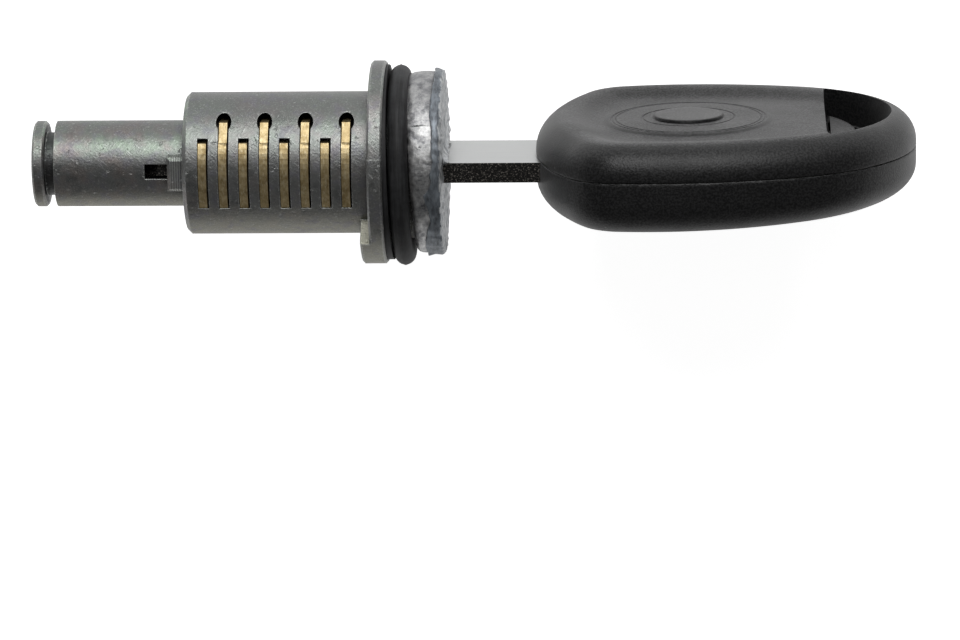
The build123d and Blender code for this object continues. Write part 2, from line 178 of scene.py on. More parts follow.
zinc, tree = new_material("chromated_die_cast_zinc")
coords = add_node(tree, "TexCoord")
here = coords.outputs["Object"]
facing = add_node(tree, "SeparateXYZ", {"Vector": coords.outputs["Normal"]})
place = add_node(tree, "SeparateXYZ", {"Vector": here})
patches = add_node(
    tree, "TexNoise", {"Vector": here, "Scale": per_metre(tint_patch), "Detail": 3.0, "Roughness": 0.6}
)
clouds = add_node(
    tree, "TexNoise", {"Vector": here, "Scale": per_metre(cloud_size), "Detail": 6.0, "Roughness": 0.65}
)
grain = add_node(tree, "TexNoise", {"Vector": here, "Scale": per_metre(skin_grain), "Detail": 3.0})
scratch_layers = []
for turns in scratch_turns:
    lengthwise = add_node(
        tree,
        "Mapping",
        {"Vector": here, "Rotation": turns, "Scale": (scratch_len / scratch_width, 1, 1)},
        vector_type="TEXTURE",
    )
    scratch_layers.append(
        add_node(
            tree,
            "TexNoise",
            {"Vector": lengthwise, "Scale": per_metre(scratch_width), "Detail": 3.0, "Roughness": 0.6},
        )
    )
scratches = add_node(tree, "Math", {0: scratch_layers[0], 1: scratch_layers[1]}, operation="MAXIMUM")
waver = add_node(
    tree, "VectorMath", {0: clouds.outputs["Color"], "Scale": nick_waver * mm}, operation="SCALE"
)
wavering = add_node(tree, "VectorMath", {0: here, 1: waver}, operation="ADD")
nicks = add_node(tree, "TexVoronoi", {"Vector": wavering, "Scale": per_metre(nick_pitch)})
nick_dents = add_node(tree, "MapRange", {"Value": nicks, "From Min": 0.22, "From Max": 0.1, "To Max": -1.2})
# The green and pink tints are strongest on the tail
on_tail = add_node(
    tree,
    "MapRange",
    {
        "Value": place.outputs["X"],
        "From Min": (barrel_rear_x + 0.6) * mm,
        "From Max": (barrel_rear_x + 0.3) * mm,
        "To Min": tint_on_barrel,
    },
)
# The green chromate tint lies only on faces turned up toward the lamp, where its highlight falls, so it is
# partly a painted highlight tint
green_highlight_band = add_node(
    tree, "MapRange", {"Value": facing.outputs["Y"], "From Min": 0.25, "From Max": 0.55, "To Max": 0.65}
)
green_patch = add_node(tree, "MapRange", {"Value": patches, "From Min": 0.36, "From Max": 0.66})
for factor in (green_highlight_band, on_tail):
    green_patch = add_node(tree, "Math", {0: green_patch, 1: factor}, operation="MULTIPLY")
pink_patch = add_node(
    tree, "MapRange", {"Value": patches, "From Min": 0.52, "From Max": 0.3, "To Max": 0.4}
)
pink_patch = add_node(tree, "Math", {0: pink_patch, 1: on_tail}, operation="MULTIPLY")
# A thin bright line shows where the halves of the die met on the flange
off_parting = add_node(
    tree, "VectorMath", {0: here, 1: (0, cos(parting_turn), -sin(parting_turn))}, operation="DOT_PRODUCT"
)
parting = add_node(
    tree, "Math", {0: off_parting.outputs["Value"], 1: 0.0, 2: parting_half * mm}, operation="COMPARE"
)
on_flange = add_node(
    tree, "Math", {0: place.outputs["X"], 1: flange_half * mm, 2: flange_half * mm}, operation="COMPARE"
)
for factor in (on_flange, 0.7):
    parting = add_node(tree, "Math", {0: parting, 1: factor}, operation="MULTIPLY")
# Painted shade darkens the groove, the corners and the pockets, where less light reaches
open_to_air = add_node(tree, "AmbientOcclusion", {"Distance": shade_depth * mm}, samples=6)
painted_shade = add_node(
    tree, "MapRange", {"Value": open_to_air.outputs["AO"], "From Min": 0.8, "From Max": 0.3, "To Max": 0.85}
)
# The floor of the clip groove is darkened further with painted shade
off_axis = add_node(tree, "VectorMath", {0: here, 1: (0, 1, 1)}, operation="MULTIPLY")
off_axis = add_node(tree, "VectorMath", {0: off_axis}, operation="LENGTH").outputs["Value"]
deep = add_node(tree, "Math", {0: off_axis, 1: groove_floor_r * mm}, operation="LESS_THAN")
groove_shade = add_node(
    tree, "Math", {0: place.outputs["X"], 1: groove_mid_x * mm, 2: groove_half * mm}, operation="COMPARE"
)
for factor in (deep, 0.8):
    groove_shade = add_node(tree, "Math", {0: groove_shade, 1: factor}, operation="MULTIPLY")
# The end face of the stop lug was rubbed clean against its housing
on_lug = add_node(
    tree, "Math", {0: place.outputs["Y"], 1: lug_face_y * mm, 2: lug_face_half * mm}, operation="COMPARE"
)
behind = add_node(tree, "Math", {0: place.outputs["X"], 1: lug_front_x * mm}, operation="LESS_THAN")
outside = add_node(tree, "Math", {0: off_axis, 1: lug_inner_r * mm}, operation="GREATER_THAN")
for factor in (behind, outside, 0.85):
    on_lug = add_node(tree, "Math", {0: on_lug, 1: factor}, operation="MULTIPLY")
# The driving tab still has the fine lines of the die across it
tab_lines = add_node(
    tree, "TexWave", {"Vector": here, "Scale": per_metre(tab_line_pitch) / pi}, bands_direction="X"
)
along_tab = add_node(
    tree, "Math", {0: place.outputs["X"], 1: tab_mid_x * mm, 2: tab_half_len * mm}, operation="COMPARE"
)
across_tab = add_node(
    tree, "Math", {0: place.outputs["Z"], 1: tab_mid_z * mm, 2: tab_half_width * mm}, operation="COMPARE"
)
tab_lines = tab_lines.outputs["Fac"]
for factor in (along_tab, across_tab):
    tab_lines = add_node(tree, "Math", {0: tab_lines, 1: factor}, operation="MULTIPLY")
tab_shade = add_node(tree, "Math", {0: tab_lines, 1: 0.6}, operation="MULTIPLY")
colour = add_node(
    tree, "MixRGB", {"Fac": green_patch, "Color1": linear(zinc_grey), "Color2": linear(tint_green)}
)
colour = add_node(tree, "MixRGB", {"Fac": pink_patch, "Color1": colour, "Color2": linear(tint_pink)})
# Each of these tints comes in as what it follows goes from one level to the next, up to its most
for followed, start, end, most, tint in (
    # The underside takes a darker olive and the faces turned up a darker grey: painted shade, from how the
    # lamp falls
    (facing.outputs["Y"], -0.35, -0.9, 0.8, zinc_olive_shade),
    (facing.outputs["Y"], 0.7, 0.95, 0.6, zinc_dark),
    (clouds, 0.52, 0.62, 0.45, tint_violet),
    (clouds, 0.48, 0.3, 0.6, zinc_dark),
    (scratches, 0.58, 0.8, 0.55, zinc_light),
    (nicks, 0.13, 0.06, 0.35, zinc_light),
):
    amount = add_node(
        tree, "MapRange", {"Value": followed, "From Min": start, "From Max": end, "To Max": most}
    )
    colour = add_node(tree, "MixRGB", {"Fac": amount, "Color1": colour, "Color2": linear(tint)})
for amount, tint in (
    (parting, zinc_light),
    (painted_shade, zinc_shade),
    (groove_shade, zinc_shade),
    (on_lug, lug_beige),
    (tab_shade, zinc_light),
):
    colour = add_node(tree, "MixRGB", {"Fac": amount, "Color1": colour, "Color2": linear(tint)})
# The edges are worn bright, and crumbs of burr cling along the slots and pockets
rounded, edges = worn_edges(tree, edge_width, 0.98, 0.85, 0.9)
near_edge = worn_edges(tree, 3 * edge_width, 0.99, 0.93, 1.0)[1]
crumbs = add_node(tree, "MapRange", {"Value": grain, "From Min": 0.56, "From Max": 0.62, "To Max": 0.9})
crumbs = add_node(tree, "Math", {0: crumbs, 1: near_edge}, operation="MULTIPLY")
edges = add_node(tree, "Math", {0: edges, 1: crumbs}, operation="MAXIMUM")
colour = add_node(tree, "MixRGB", {"Fac": edges, "Color1": colour, "Color2": linear(zinc_light)})
dullness = add_node(
    tree, "MapRange", {"Value": clouds, "From Min": 0.3, "From Max": 0.7, "To Min": 0.34, "To Max": 0.5}
)
relief = clouds
for layer in (grain, scratches, tab_lines, nick_dents):
    relief = add_node(tree, "Math", {0: relief, 1: layer}, operation="ADD")
bump = add_node(
    tree, "Bump", {"Height": relief, "Strength": 0.5, "Distance": zinc_relief * mm, "Normal": rounded}
)
shader = add_node(
    tree, "BsdfPrincipled", {"Base Color": colour, "Metallic": 0.85, "Roughness": dullness, "Normal": bump}
)
add_node(tree, "OutputMaterial", {"Surface": shader})
coat(zinc, "plug")

# Wafers: blanked from brass strip, one in each slot, their ends and wings ground to the barrel's round.
# The ends are a dull straw gold, with the shear lines of the blanking across them.
brass_face = "#c9b68c"
brass_dark = "#937f57"
brass_light = "#eadfbe"
wing_root_y = 3.25
wing_end_y = 5.0
wing_low_z = 2.4
wing_top_z = 3.6
wing_ground_r = 6.75
blotch_size = 0.8
shear_pitch = 0.16
shear_relief = 0.03
wafer_names = [name for name in nodes if name.startswith("wafer_") and "spring" not in name]

brass, tree = new_material("blanked_brass_strip")
here = add_node(tree, "TexCoord").outputs["Object"]
stretched = add_node(tree, "Mapping", {"Vector": here, "Scale": (1, 0.35, 0.35)})
blotches = add_node(
    tree, "TexNoise", {"Vector": here, "Scale": per_metre(blotch_size), "Detail": 5.0, "Roughness": 0.65}
)
shear = add_node(tree, "TexNoise", {"Vector": stretched, "Scale": per_metre(shear_pitch), "Detail": 3.0})
blotched = add_node(tree, "MapRange", {"Value": blotches, "From Min": 0.35, "From Max": 0.7})
colour = add_node(
    tree, "MixRGB", {"Fac": blotched, "Color1": linear(brass_dark), "Color2": linear(brass_face)}
)
sheared = add_node(tree, "MapRange", {"Value": shear, "From Min": 0.5, "From Max": 0.8, "To Max": 0.6})
colour = add_node(tree, "MixRGB", {"Fac": sheared, "Color1": colour, "Color2": linear(brass_light)})
bump = add_node(tree, "Bump", {"Height": shear, "Strength": 0.4, "Distance": shear_relief * mm})
shader = add_node(
    tree, "BsdfPrincipled", {"Base Color": colour, "Metallic": 0.8, "Roughness": 0.42, "Normal": bump}
)
add_node(tree, "OutputMaterial", {"Surface": shader})


def select_only(piece):
    """Makes the piece the one selected and active object."""
    bpy.ops.object.select_all(action="DESELECT")
    piece.select_set(True)
    bpy.context.view_layer.objects.active = piece


def merged_copy(node_name, name):
    """A new piece with the mesh of a CAD node, its doubled corners merged."""
    piece = bpy.data.objects.new(name, nodes[node_name].data.copy())
    bpy.context.scene.collection.objects.link(piece)
    select_only(piece)
    bpy.ops.object.mode_set(mode="EDIT")
    bpy.ops.mesh.select_all(action="SELECT")
    bpy.ops.mesh.remove_doubles(threshold=0.001 * mm)
    bpy.ops.object.mode_set(mode="OBJECT")
    return piece


def dress(piece, material, smooth_angle):
    """Smooths the piece and gives it its material."""
    select_only(piece)
    bpy.ops.object.shade_smooth_by_angle(angle=radians(smooth_angle))
    piece.data.materials.clear()
    piece.data.materials.append(material)


for number, name in enumerate(wafer_names, 1):
    # Every other wafer is turned by half a turn
    side = 1 if number % 2 == 0 else -1
    wafer = merged_copy(name, name + "_ground")
    for vertex in wafer.data.vertices:
        y, z = (side * value / mm for value in vertex.co.yz)
        if y > wing_root_y - 0.01 and z > wing_low_z - 0.01:
            reach = min(y, wing_end_y)
            if z > wing_low_z + 0.5 and z < wing_top_z + 0.01:
                z = sqrt(wing_ground_r**2 - reach**2)
            vertex.co.yz = side * reach * mm, side * z * mm
    dress(wafer, brass, 14)
    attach(wafer, name)
    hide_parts(name)

# Springs, dust flap and its pin: drawn steel wire and thin plain sheet.
# Both are bright with fine lines along the drawing and rolling direction.
steel_bright = "#a9abad"
steel_shade = "#7f8184"
line_pitch = 0.15
line_relief = 0.02

steel, tree = new_material("drawn_spring_steel")
here = add_node(tree, "TexCoord").outputs["Object"]
lengthwise = add_node(tree, "Mapping", {"Vector": here, "Scale": (1, 1, 0.08)})
lines = add_node(tree, "TexNoise", {"Vector": lengthwise, "Scale": per_metre(line_pitch), "Detail": 4.0})
colour = add_node(
    tree, "MixRGB", {"Fac": lines, "Color1": linear(steel_shade), "Color2": linear(steel_bright)}
)
bump = add_node(tree, "Bump", {"Height": lines, "Strength": 0.2, "Distance": line_relief * mm})
shader = add_node(
    tree, "BsdfPrincipled", {"Base Color": colour, "Metallic": 1.0, "Roughness": 0.32, "Normal": bump}
)
add_node(tree, "OutputMaterial", {"Surface": shader})
coat(steel, "shutter", "shutter_pin", "shutter_spring")

# A wafer's spring stands on the floor of its pocket and carries the wing
for number, name in enumerate(wafer_names, 1):
    node_name = f"wafer_spring_{number}"
    spring = merged_copy(node_name, node_name + "_coil")
    dress(spring, steel, 30)
    low, high = (Vector(corner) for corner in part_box(node_name))
    foot = (low + high) / 2
    top = foot.copy()
    foot.z, top.z = (low.z, high.z) if number % 2 == 0 else (high.z, low.z)
    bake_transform(spring)
    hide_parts(node_name)

# Seals: a flat washer and an O-ring of black moulded rubber, pushed over the neck against the flange.
# The rubber is matt and dusty, with faint streaks where it was stretched on.
rubber_black = "#141415"
rubber_dust = "#48494b"
streak_pitch = 0.3
streak_len = 6.0
streak_relief = 0.05
dust_size = 2.5
oring_steps = 160
oring_section = 28
oring_flash = 0.05
oring_wobble = 0.06
seal_tilt = radians(1.2)


def spun(name, outline, steps):
    """A closed outline of (x, radius) points, in mm, turned once about the axis of the lock."""
    bpy.ops.object.select_all(action="DESELECT")
    bpy.ops.mesh.primitive_circle_add(vertices=len(outline), radius=mm, fill_type="NOTHING")
    piece = bpy.context.object
    piece.name = name
    for vertex, (x, radius) in zip(piece.data.vertices, outline):
        vertex.co = (x * mm, radius * mm, 0)
    bpy.ops.object.mode_set(mode="EDIT")
    bpy.ops.mesh.select_all(action="SELECT")
    bpy.ops.mesh.spin(steps=steps, angle=2 * pi, center=(0, 0, 0), axis=(1, 0, 0))
    bpy.ops.mesh.select_all(action="SELECT")
    bpy.ops.mesh.remove_doubles(threshold=0.001 * mm)
    bpy.ops.mesh.normals_make_consistent(inside=False)
    bpy.ops.object.mode_set(mode="OBJECT")
    return piece


rubber, tree = new_material("moulded_black_rubber")
here = add_node(tree, "TexCoord").outputs["Object"]
stretched = add_node(
    tree, "Mapping", {"Vector": here, "Scale": (1, streak_pitch / streak_len, streak_pitch / streak_len)}
)
streaks = add_node(
    tree,
    "TexNoise",
    {"Vector": stretched, "Scale": per_metre(streak_pitch), "Detail": 4.0, "Roughness": 0.6},
)
dust = add_node(
    tree, "TexNoise", {"Vector": here, "Scale": per_metre(dust_size), "Detail": 6.0, "Roughness": 0.7}
)
dusty = add_node(tree, "Math", {0: streaks, 1: dust}, operation="MULTIPLY")
dusted = add_node(tree, "MapRange", {"Value": dusty, "From Min": 0.18, "From Max": 0.42, "To Max": 0.55})
colour = add_node(
    tree, "MixRGB", {"Fac": dusted, "Color1": linear(rubber_black), "Color2": linear(rubber_dust)}
)
bump = add_node(tree, "Bump", {"Height": streaks, "Strength": 0.3, "Distance": streak_relief * mm})
shader = add_node(
    tree,
    "BsdfPrincipled",
    {"Base Color": colour, "Roughness": 0.62, "Specular IOR Level": 0.35, "Normal": bump},
)
add_node(tree, "OutputMaterial", {"Surface": shader})
coat(rubber, "seal_washer")

low, high = (corner / mm for corner in map(Vector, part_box("o_ring")))
oring_middle = (low + high) / 2
oring_thick = (high.x - low.x) - (high.z - low.z) * sin(seal_tilt)
oring_wire_r = oring_thick / 2
oring_r = high.z - oring_wire_r
oring_outline = []
for step in range(oring_section):
    turn = 2 * pi * step / oring_section
    proud = oring_flash if step in (0, oring_section // 2) else 0
    wire_r = oring_wire_r - oring_flash + proud
    oring_outline.append((wire_r * sin(turn), oring_r + wire_r * cos(turn)))
oring = spun("o_ring_smooth", oring_outline, oring_steps)
for vertex in oring.data.vertices:
    around = Vector((0, vertex.co.y, vertex.co.z)).normalized()
    vertex.co.x += noise.noise(around * 2.2) * oring_wobble * mm
oring.data.transform(Matrix.Translation(oring_middle * mm) @ Matrix.Rotation(seal_tilt, 4, "Z"))
dress(oring, rubber, 50)
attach(oring, "lock")
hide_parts("o_ring")

# Head ring: bare zinc alloy, cast round the spigot, with a rounded band and no finish at all.
# The skin is bright and granular, with pits, and a crack where the two halves of the die met.
raw_bright = "#d0d0cf"
raw_grey = "#66676b"
raw_pit = "#2c2d2f"
crack_turn = radians(35)
crack_half = 0.07
crack_shift = 0.07
skin_size = 1.2
skin_waver = 0.6
skin_relief = 0.12
pit_pitch = 0.55
pit_field = 1.8
ring_steps = 240
cap_skirt_x = 6.35
cap_inside = 6.9
cap_front = 7.3
low, high = (corner / mm for corner in map(Vector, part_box("head_ring")))
ring_r = high.y
ring_bore = 7.45
band_lap = 0.05
band_start = low.x - 0.06
band_end = cap_skirt_x + band_lap
band_steps = 12
band_sag = 0.75
band_lean = 0.045
band_lean_len = 1.2
lump_size = 0.5
lump_depth = 0.16
ring_outline = [(band_start, ring_bore), (band_start, ring_r - band_sag)]
for step in range(band_steps + 1):
    share = step / band_steps
    bulge = 1 - abs(1.3 * share - 0.78) ** 3
    x = band_start + band_lap + share * (band_end - band_start - band_lap)
    ring_outline.append((x, ring_r - band_sag * (1 - bulge)))
ring_outline += [(high.x, ring_r - 0.3), (high.x, ring_bore)]
head_ring = spun("head_ring_cast", ring_outline, ring_steps)
for vertex in head_ring.data.vertices:
    share = max(0, 1 - (vertex.co.x / mm - band_start) / band_lean_len)
    vertex.co.x -= vertex.co.y * band_lean * share

cast_skin = bpy.data.textures.new("cast_skin", "CLOUDS")
cast_skin.noise_scale = lump_size * mm
cast_skin.noise_depth = 3
select_only(head_ring)
lumps = head_ring.modifiers.new("lumps", "DISPLACE")
lumps.texture = cast_skin
lumps.texture_coords = "LOCAL"
lumps.mid_level = 1.0
lumps.strength = lump_depth * mm
bpy.ops.object.modifier_apply(modifier=lumps.name)

raw_zinc, tree = new_material("bare_die_cast_zinc")
coords = add_node(tree, "TexCoord")
here = coords.outputs["Object"]
facing = add_node(tree, "SeparateXYZ", {"Vector": coords.outputs["Normal"]})
skin = add_node(
    tree, "TexNoise", {"Vector": here, "Scale": per_metre(skin_size), "Detail": 8.0, "Roughness": 0.75}
)
waver = add_node(
    tree, "VectorMath", {0: skin.outputs["Color"], "Scale": skin_waver * mm}, operation="SCALE"
)
wavering = add_node(tree, "VectorMath", {0: here, 1: waver}, operation="ADD")
pits = add_node(tree, "TexVoronoi", {"Vector": wavering, "Scale": per_metre(pit_pitch)})
bright = add_node(tree, "MapRange", {"Value": skin, "From Min": 0.35, "From Max": 0.62})
colour = add_node(tree, "MixRGB", {"Fac": bright, "Color1": linear(raw_grey), "Color2": linear(raw_bright)})
pit_spread = add_node(tree, "TexNoise", {"Vector": here, "Scale": per_metre(pit_field), "Detail": 2.0})
pit_edge = add_node(tree, "Math", {0: pits, 1: pit_spread}, operation="ADD")
pit_edge = add_node(tree, "Math", {0: pit_edge, 1: 0.4}, operation="SUBTRACT")
pit_mask = add_node(
    tree, "MapRange", {"Value": pit_edge, "From Min": 0.16, "From Max": 0.06, "To Max": 0.85}
)
off_crack = add_node(
    tree, "VectorMath", {0: wavering, 1: (0, cos(crack_turn), -sin(crack_turn))}, operation="DOT_PRODUCT"
)
crack = add_node(
    tree,
    "Math",
    {0: off_crack.outputs["Value"], 1: crack_shift * mm, 2: crack_half * mm},
    operation="COMPARE",
)
crack_gaps = add_node(
    tree, "MapRange", {"Value": pit_spread, "From Min": 0.62, "From Max": 0.45, "To Max": 0.75}
)
crack = add_node(tree, "Math", {0: crack, 1: crack_gaps}, operation="MULTIPLY")
# The faces turned up are painted darker grey: painted shade, from how the lamp falls
painted_top_shade = add_node(
    tree, "MapRange", {"Value": facing.outputs["Y"], "From Min": 0.6, "From Max": 0.95, "To Max": 0.45}
)
for amount, tint in ((pit_mask, raw_pit), (crack, raw_pit), (painted_top_shade, raw_grey)):
    colour = add_node(tree, "MixRGB", {"Fac": amount, "Color1": colour, "Color2": linear(tint)})
bump = add_node(tree, "Bump", {"Height": skin, "Strength": 0.85, "Distance": skin_relief * mm})
shader = add_node(
    tree, "BsdfPrincipled", {"Base Color": colour, "Metallic": 0.95, "Roughness": 0.42, "Normal": bump}
)
add_node(tree, "OutputMaterial", {"Surface": shader})
dress(head_ring, raw_zinc, 40)
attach(head_ring, "lock")
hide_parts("head_ring")

# Face cap: a thin cap drawn from soft zinc sheet and pressed over the head ring.
# Its skirt is torn and turned over in places, and its face is scratched all over.
cap_blue = "#8b9299"
cap_light = "#dcdddd"
cap_dark = "#4d5156"
cap_steps = 320
cap_wall = 0.3
cap_face_chamfer = 0.4
cap_face_rings = 14
face_dents = 0.16
skirt_ragged = 0.3
skirt_tuck = 0.12
burr_half = 0.35
worn_width = 0.12
smear_size = 0.5
cap_scratch = 0.25
gouge_pitch = 0.6
cap_relief = 0.08
# Where the torn skirt ends, as degrees round from the side that faces up, and the place along the lock
torn_edge = (
    (-130, 5.8),
    (-85, 5.5),
    (-64, 5.45),
    (-52, 5.75),
    (-40, 6.1),
    (-34, 5.95),
    (-29, 5.62),
    (-24, 5.55),
    (-19, 6.05),
    (-14, 6.3),
    (-11, 6.1),
    (-6, 6.3),
    (7, 6.35),
    (17, 6.28),
    (27, 6.06),
    (42, 6.1),
    (60, 6.4),
    (100, 6.3),
)
# Burrs on the skirt, as the angle, the place along the lock, half the width in degrees, and the rise
burrs = ((87.0, 6.5, 5.0, 0.16), (-86.0, 5.5, 4.0, 0.34), (-60.0, 7.2, 4.0, 0.2))


def torn_end(turn):
    """The place along the lock where the skirt ends, for an angle in degrees."""
    for (before, near), (after, far) in zip(torn_edge, torn_edge[1:]):
        if before <= turn <= after:
            return near + (far - near) * (turn - before) / (after - before)
    return torn_edge[0][1] + 0.2


low, high = (corner / mm for corner in map(Vector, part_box("face_cap")))
cap_r = high.y
cap_outline = [(cap_inside, 0.0), (cap_inside, cap_r - cap_wall)]
cap_outline += [(cap_skirt_x + 0.2, cap_r - cap_wall), (cap_skirt_x, cap_r - cap_wall + 0.12)]
cap_outline += [(cap_skirt_x, cap_r - 0.06), (cap_skirt_x + 0.05, cap_r)]
cap_outline += [(cap_skirt_x + 0.3, cap_r), (cap_skirt_x + 0.5, cap_r)]
cap_outline += [(cap_front - cap_face_chamfer, cap_r), (cap_front - 0.12, cap_r - 0.12)]
for step in range(cap_face_rings + 1):
    radius = (cap_r - cap_face_chamfer) * (1 - step / cap_face_rings)
    cap_outline.append((cap_front, radius))
face_cap = spun("face_cap_drawn", cap_outline, cap_steps)
for vertex in face_cap.data.vertices:
    x, y, z = vertex.co / mm
    radius = hypot(y, z)
    if radius < 0.5:
        continue
    around = Vector((0, y, z)) / radius
    turn = degrees(atan2(y, z) - view_tip)
    if x > cap_inside + 0.1 and radius < cap_r + 0.01:
        dent = noise.noise(Vector((0, y, z)) * 1.1) + noise.noise(Vector((5, y, z)) * 3.0) * 0.6
        vertex.co.x += (dent - 0.3) * face_dents * mm
    if radius < cap_r - cap_wall - 0.01:
        continue
    if x < cap_inside:
        share = min(1, (cap_inside - x) / (cap_inside - cap_skirt_x))
        rag = noise.noise(around * 9.0) + noise.noise(around * 33.0) * 0.6
        reach = (torn_end(turn) - cap_skirt_x) + rag * skirt_ragged / 2
        vertex.co.x += reach * share * mm
        vertex.co -= around * skirt_tuck * max(0, -reach) * share * mm
    lift = noise.noise(around * 14.0 + Vector((x, 0, 0))) * 0.06
    for burr_turn, burr_x, width, rise in burrs:
        off = ((turn - burr_turn) / width) ** 2 + ((vertex.co.x / mm - burr_x) / burr_half) ** 2
        lift += max(0, 1 - off) * rise
    vertex.co += around * lift * mm

keyway_half_t = 1.04
keyway_half_w = 5.56
lip_width = 0.8
lip_low = 0.1
lip_high = 0.6
lip_fade = 0.3


def cut_with(piece, cutter):
    """Takes the cutter's volume from the piece, and removes the cutter."""
    select_only(piece)
    cut = piece.modifiers.new("cut", "BOOLEAN")
    cut.operation = "DIFFERENCE"
    cut.solver = "EXACT"
    cut.object = cutter
    bpy.ops.object.modifier_apply(modifier=cut.name)
    bpy.data.objects.remove(cutter)


def block(corner_low, corner_high):
    """A block between two corners, in mm."""
    bpy.ops.object.select_all(action="DESELECT")
    bpy.ops.mesh.primitive_cube_add(size=1)
    piece = bpy.context.object
    size = (Vector(corner_high) - Vector(corner_low)) * mm
    middle = (Vector(corner_high) + Vector(corner_low)) / 2 * mm
    piece.data.transform(Matrix.Translation(middle) @ Matrix.Diagonal((*size, 1)))
    return piece


cut_with(
    face_cap,
    block(
        (cap_inside - 0.5, -keyway_half_t, -keyway_half_w), (cap_front + 0.5, keyway_half_t, keyway_half_w)
    ),
)
# The sheet is turned up along the upper side of the keyway, and most at its near end
for vertex in face_cap.data.vertices:
    x, y, z = vertex.co / mm
    away = hypot(max(0, abs(y) - keyway_half_t), max(0, abs(z) - keyway_half_w))
    if x > cap_inside + 0.15 and away < lip_width:
        above = max(0, min(1, 1 + (y - keyway_half_t) / lip_fade))
        nearer = max(0, min(1, (z / keyway_half_w + 1) / 2))
        rise = lip_low + (lip_high - lip_low) * above * nearer
        vertex.co.x += rise * (1 - away / lip_width) ** 2 * mm

cap_metal, tree = new_material("scratched_zinc_sheet")
coords = add_node(tree, "TexCoord")
here = coords.outputs["Object"]
facing = add_node(tree, "SeparateXYZ", {"Vector": coords.outputs["Normal"]})
stretched = add_node(tree, "Mapping", {"Vector": here, "Scale": (1, 0.3, 0.3)})
smear = add_node(
    tree, "TexNoise", {"Vector": stretched, "Scale": per_metre(smear_size), "Detail": 7.0, "Roughness": 0.7}
)
crosswise = add_node(tree, "Mapping", {"Vector": here, "Scale": (1, 0.12, 1), "Rotation": (0.5, 0, 0.2)})
scratches = add_node(
    tree,
    "TexNoise",
    {"Vector": crosswise, "Scale": per_metre(cap_scratch), "Detail": 5.0, "Roughness": 0.7},
)
front = add_node(tree, "MapRange", {"Value": facing.outputs["X"], "From Min": 0.4, "From Max": 0.8})
smeared = add_node(tree, "MapRange", {"Value": smear, "From Min": 0.35, "From Max": 0.65})
band_colour = add_node(
    tree, "MixRGB", {"Fac": smeared, "Color1": linear(cap_dark), "Color2": linear(cap_blue)}
)
scratched = add_node(tree, "MapRange", {"Value": scratches, "From Min": 0.36, "From Max": 0.6})
face_colour = add_node(
    tree, "MixRGB", {"Fac": scratched, "Color1": linear(cap_blue), "Color2": linear(cap_light)}
)
stretched = add_node(tree, "Mapping", {"Vector": here, "Scale": (1, 0.35, 1)})
gouges = add_node(tree, "TexVoronoi", {"Vector": stretched, "Scale": per_metre(gouge_pitch)})
gouged = add_node(tree, "MapRange", {"Value": gouges, "From Min": 0.36, "From Max": 0.2, "To Max": 0.85})
face_colour = add_node(tree, "MixRGB", {"Fac": gouged, "Color1": face_colour, "Color2": linear(cap_dark)})
colour = add_node(tree, "MixRGB", {"Fac": front, "Color1": band_colour, "Color2": face_colour})
rounded, worn = worn_edges(tree, worn_width, 0.97, 0.8, 0.75)
worn_where = add_node(tree, "MapRange", {"Value": smear, "From Min": 0.42, "From Max": 0.55})
worn = add_node(tree, "Math", {0: worn, 1: worn_where}, operation="MULTIPLY")
colour = add_node(tree, "MixRGB", {"Fac": worn, "Color1": colour, "Color2": linear(cap_light)})
bump = add_node(
    tree, "Bump", {"Height": scratches, "Strength": 0.6, "Distance": cap_relief * mm, "Normal": rounded}
)
shader = add_node(
    tree, "BsdfPrincipled", {"Base Color": colour, "Metallic": 0.55, "Roughness": 0.42, "Normal": bump}
)
add_node(tree, "OutputMaterial", {"Surface": shader})
dress(face_cap, cap_metal, 40)
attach(face_cap, "lock")
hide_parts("face_cap")

# Key blade: blanked from flat nickel silver, milled with a groove along each face, its edges left as cut.
# The faces are a light satin grey, and the sheared edges are black and speckled with bright metal.
blade_satin = "#c6c7c6"
blade_shade = "#b1b3b3"
edge_black = "#2a2928"
edge_speck = "#b5afa6"
speck_size = 0.15
brush_pitch = 0.2
blade_relief = 0.04

nickel, tree = new_material("satin_nickel_silver")
coords = add_node(tree, "TexCoord")
here = coords.outputs["Object"]
facing = add_node(tree, "SeparateXYZ", {"Vector": coords.outputs["Normal"]})
lengthwise = add_node(tree, "Mapping", {"Vector": here, "Scale": (0.04, 1, 1)})
brushed = add_node(tree, "TexNoise", {"Vector": lengthwise, "Scale": per_metre(brush_pitch), "Detail": 4.0})
specks = add_node(
    tree, "TexNoise", {"Vector": here, "Scale": per_metre(speck_size), "Detail": 2.0, "Roughness": 0.7}
)
face_colour = add_node(
    tree, "MixRGB", {"Fac": brushed, "Color1": linear(blade_shade), "Color2": linear(blade_satin)}
)
speckled = add_node(tree, "MapRange", {"Value": specks, "From Min": 0.55, "From Max": 0.72})
edge_colour = add_node(
    tree, "MixRGB", {"Fac": speckled, "Color1": linear(edge_black), "Color2": linear(edge_speck)}
)
sideways = add_node(tree, "Math", {0: facing.outputs["Z"]}, operation="ABSOLUTE")
on_edge = add_node(tree, "MapRange", {"Value": sideways, "From Min": 0.4, "From Max": 0.5})
colour = add_node(tree, "MixRGB", {"Fac": on_edge, "Color1": face_colour, "Color2": edge_colour})
relief = add_node(tree, "MixRGB", {"Fac": on_edge, "Color1": brushed, "Color2": specks})
bump = add_node(tree, "Bump", {"Height": relief, "Strength": 0.3, "Distance": blade_relief * mm})
shader = add_node(
    tree, "BsdfPrincipled", {"Base Color": colour, "Metallic": 0.7, "Roughness": 0.38, "Normal": bump}
)
add_node(tree, "OutputMaterial", {"Surface": shader})
coat(nickel, "key_blade")

